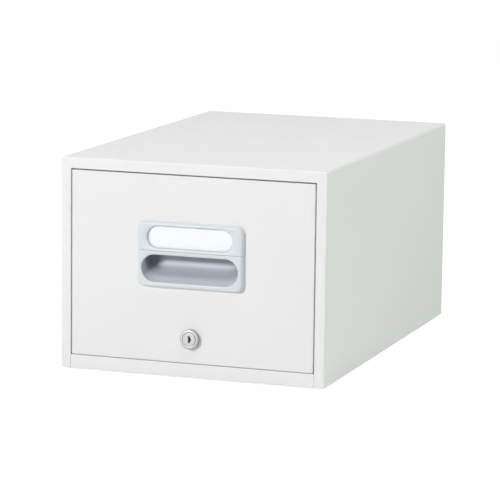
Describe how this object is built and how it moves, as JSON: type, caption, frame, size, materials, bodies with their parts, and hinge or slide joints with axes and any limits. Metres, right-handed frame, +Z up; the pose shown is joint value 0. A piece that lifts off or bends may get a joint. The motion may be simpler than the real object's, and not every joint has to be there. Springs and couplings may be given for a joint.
{
  "type": "card drawer cabinet",
  "caption": "Desktop steel cabinet with a single lockable card drawer on ball slides, a moulded pull with a finger cup and label window, and a cylinder lock.",
  "frame": {"origin": "middle of the bounding box's underside, where the feet meet the surface", "axes": "+X to the right as seen by someone facing the drawer, +Y from the drawer's front to the back panel, +Z up"},
  "size_m": [0.31, 0.482, 0.2405],
  "materials": {
    "case_paint": "off-white powder coat on sheet steel, fine satin texture",
    "front_paint": "white powder coat on sheet steel, fine satin texture",
    "tub_paint": "off-white powder coat, satin",
    "pull_plastic": "pale blue-grey moulded plastic, satin",
    "clear_plastic": "clear sheet, glossy",
    "label_paper": "blank white paper, matte",
    "lock_chrome": "satin chrome on cast zinc",
    "lock_nickel": "brushed nickel",
    "zinc_steel": "bright zinc-plated steel",
    "zinc_screw": "zinc-plated screw steel",
    "cage_steel": "plain pressed strip",
    "ball_steel": "polished bearing steel",
    "foot_rubber": "black rubber, matte",
    "slider_nylon": "natural nylon"
  },
  "bodies": {
    "cabinet": {"case_wrapper": "case_paint", "back_panel": "case_paint", "bottom_panel": "case_paint", "front_rail": "case_paint", "top_stiffener": "case_paint", "foot_front_left": "foot_rubber", "foot_front_right": "foot_rubber", "foot_rear_left": "foot_rubber", "foot_rear_right": "foot_rubber", "foot_screws": "zinc_screw", "slide_bracket_front_left": "zinc_steel", "slide_bracket_front_right": "zinc_steel", "slide_bracket_rear_left": "zinc_steel", "slide_bracket_rear_right": "zinc_steel", "slide_outer_left": "zinc_steel", "slide_outer_right": "zinc_steel", "slide_outer_screws": "zinc_screw", "rear_bumpers": "foot_rubber"},
    "middle_members": {"slide_middle_left": "zinc_steel", "slide_middle_right": "zinc_steel"},
    "outer_ball_cages": {"ball_cage_outer_left": "cage_steel", "ball_cage_outer_right": "cage_steel", "slide_balls_outer_left": "ball_steel", "slide_balls_outer_right": "ball_steel"},
    "inner_ball_cages": {"ball_cage_inner_left": "cage_steel", "ball_cage_inner_right": "cage_steel", "slide_balls_inner_left": "ball_steel", "slide_balls_inner_right": "ball_steel"},
    "drawer": {"drawer_front": "front_paint", "tub_body": "tub_paint", "tub_front_wall": "tub_paint", "tub_back_wall": "tub_paint", "drawer_front_screws": "zinc_screw", "slide_inner_left": "zinc_steel", "slide_inner_right": "zinc_steel", "slide_inner_screws": "zinc_screw", "handle_base": "pull_plastic", "handle_screws": "zinc_screw", "label_frame": "pull_plastic", "label_cover": "clear_plastic", "label_card": "label_paper", "lock_housing": "lock_chrome", "lock_nut": "zinc_steel", "follower_track": "zinc_steel", "track_rivets": "zinc_screw"},
    "lock_cylinder": {"lock_plug": "lock_nickel", "lock_cam": "zinc_steel", "cam_screw": "zinc_screw"},
    "card_follower": {"follower_slider": "slider_nylon", "follower_plate": "tub_paint", "follower_screws": "zinc_screw"}
  },
  "joints": [
    {"name": "drawer_slide", "type": "slide", "parent": "cabinet", "child": "drawer", "axis": [0, -1, 0], "range_m": [0, 0.4]},
    {"name": "middle_member_slide", "type": "slide", "parent": "cabinet", "child": "middle_members", "axis": [0, -1, 0], "range_m": [0, 0.2]},
    {"name": "outer_cage_slide", "type": "slide", "parent": "cabinet", "child": "outer_ball_cages", "axis": [0, -1, 0], "range_m": [0, 0.1]},
    {"name": "inner_cage_slide", "type": "slide", "parent": "cabinet", "child": "inner_ball_cages", "axis": [0, -1, 0], "range_m": [0, 0.3]},
    {"name": "lock_turn", "type": "hinge", "parent": "drawer", "child": "lock_cylinder", "pos_m": [0, -0.234, 0.0464], "axis": [0, 1, 0], "range_deg": [0, 90]},
    {"name": "follower_slide", "type": "slide", "parent": "drawer", "child": "card_follower", "axis": [0, -1, 0], "range_m": [0, 0.3]}
  ],
  "couplings": [
    {"joint": "middle_member_slide", "follows": "drawer_slide", "ratio": 0.5},
    {"joint": "outer_cage_slide", "follows": "drawer_slide", "ratio": 0.25},
    {"joint": "inner_cage_slide", "follows": "drawer_slide", "ratio": 0.75}
  ]
}
